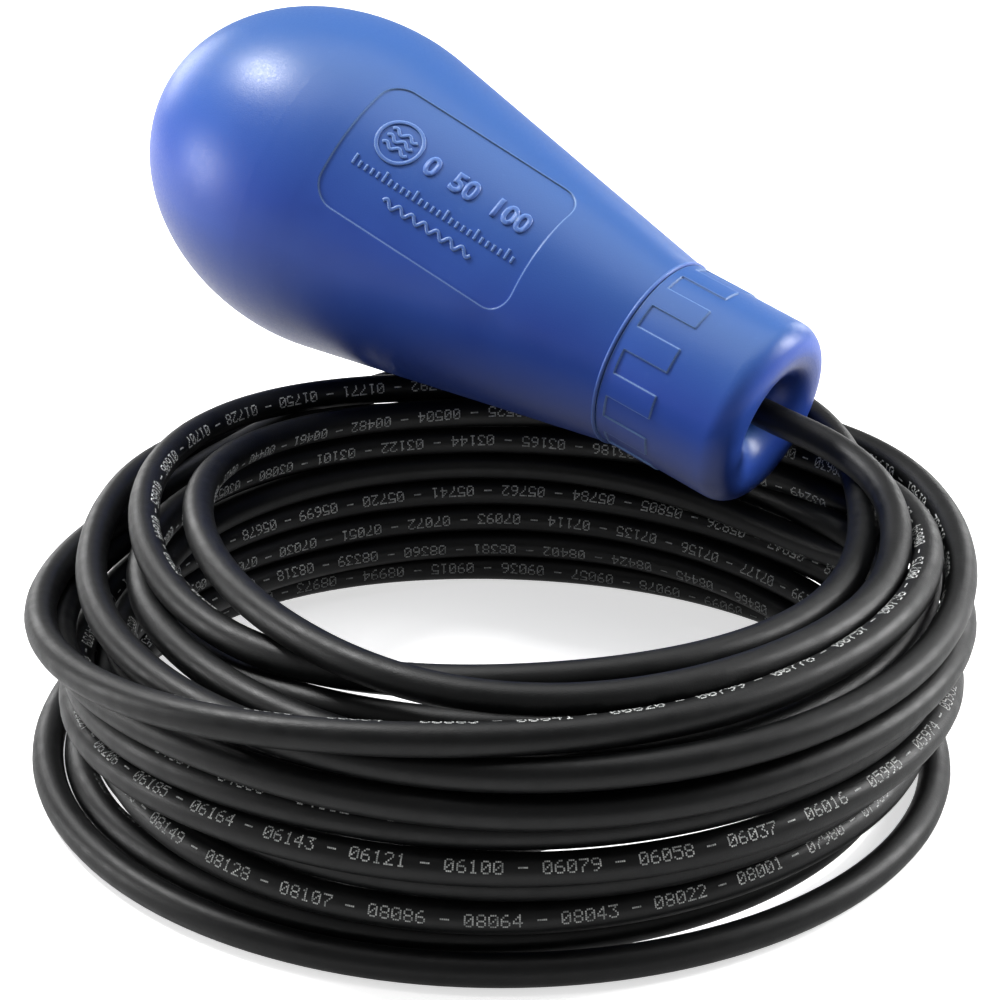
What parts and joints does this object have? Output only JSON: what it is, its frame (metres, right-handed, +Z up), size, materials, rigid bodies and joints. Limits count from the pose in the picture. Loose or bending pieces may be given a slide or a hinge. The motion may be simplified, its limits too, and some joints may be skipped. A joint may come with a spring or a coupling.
{
  "type": "cable float switch",
  "caption": "Pear-shaped blue float with a rolling-ball microswitch inside and a trumpet-mouthed cap, lying on a coil of its black rubber cable.",
  "frame": {"origin": "on the floor at the centre of the coil of cable", "axes": "+Z up from the floor; the coil lies flat round +Z; the float lies across the coil's back (+Y) with its bulb towards -X and its cap towards +X"},
  "size_m": [0.244, 0.2964, 0.1614],
  "materials": {
    "blue_moulding": "satin blue polypropylene, injection moulded, fine texture",
    "black_seal": "black nitrile rubber, matt",
    "grey_bush": "grey nitrile rubber, matt",
    "steel_washer": "stamped stainless steel",
    "nylon_nut": "natural nylon",
    "capsule_moulding": "black moulded plastic",
    "white_moulding": "white acetal",
    "polished_ball": "polished bearing steel",
    "black_switch": "black moulded thermoset",
    "steel_pin": "drawn stainless steel",
    "spring_steel": "rolled spring steel",
    "red_plunger": "red moulded plastic",
    "brass_contact": "stamped brass",
    "tinned_sleeve": "tinned brass",
    "black_core": "black core insulation",
    "brown_core": "brown core insulation",
    "grey_core": "grey core insulation",
    "cable_sheath": "black rubber sheath, satin, with pale dotted print",
    "tinned_ferrule": "tinned copper with a moulded collar"
  },
  "bodies": {
    "float_and_cable": {"float_shell": "blue_moulding", "end_cap": "blue_moulding", "cap_seal": "black_seal", "gland_bush": "grey_bush", "gland_washer": "steel_washer", "gland_nut": "nylon_nut", "capsule_body": "capsule_moulding", "capsule_gasket": "black_seal", "capsule_lid": "capsule_moulding", "ball_bumper": "black_seal", "ball_track": "white_moulding", "switch_cradle": "white_moulding", "switch_case": "black_switch", "switch_cover": "black_switch", "lever_pin": "steel_pin", "common_terminal": "brass_contact", "open_terminal": "brass_contact", "closed_terminal": "brass_contact", "sleeve_common": "tinned_sleeve", "inner_core_black": "black_core", "sleeve_open": "tinned_sleeve", "inner_core_brown": "brown_core", "sleeve_closed": "tinned_sleeve", "inner_core_grey": "grey_core", "cable_lead": "cable_sheath", "cable_coil": "cable_sheath", "cable_tail": "cable_sheath", "tail_core_black": "black_core", "tail_ferrule_black": "tinned_ferrule", "tail_core_brown": "brown_core", "tail_ferrule_brown": "tinned_ferrule", "tail_core_grey": "grey_core", "tail_ferrule_grey": "tinned_ferrule"},
    "ball": {"steel_ball": "polished_ball"},
    "lever": {"switch_lever": "spring_steel"},
    "plunger": {"switch_plunger": "red_plunger"},
    "blade": {"contact_blade": "brass_contact"}
  },
  "joints": [
    {"name": "ball_roll", "type": "slide", "parent": "float_and_cable", "child": "ball", "axis": [0.7894, -0.5527, -0.2672], "range_m": [-0.023, 0]},
    {"name": "lever_swing", "type": "hinge", "parent": "float_and_cable", "child": "lever", "pos_m": [0.01123, 0.07361, 0.08489], "axis": [-0.2211, -0.662, 0.7161], "range_deg": [0, 9]},
    {"name": "plunger_travel", "type": "slide", "parent": "float_and_cable", "child": "plunger", "axis": [0.7894, -0.5527, -0.2672], "range_m": [-0.001, 0]},
    {"name": "blade_snap", "type": "hinge", "parent": "float_and_cable", "child": "blade", "pos_m": [0.01782, 0.0708, 0.08433], "axis": [-0.2211, -0.662, 0.7161], "range_deg": [0, 4.8]}
  ],
  "couplings": [
    {"joint": "lever_swing", "follows": "ball_roll", "rad_per_m": -6.82},
    {"joint": "plunger_travel", "follows": "ball_roll", "ratio": 0.0434},
    {"joint": "blade_snap", "follows": "ball_roll", "rad_per_m": -3.64}
  ]
}
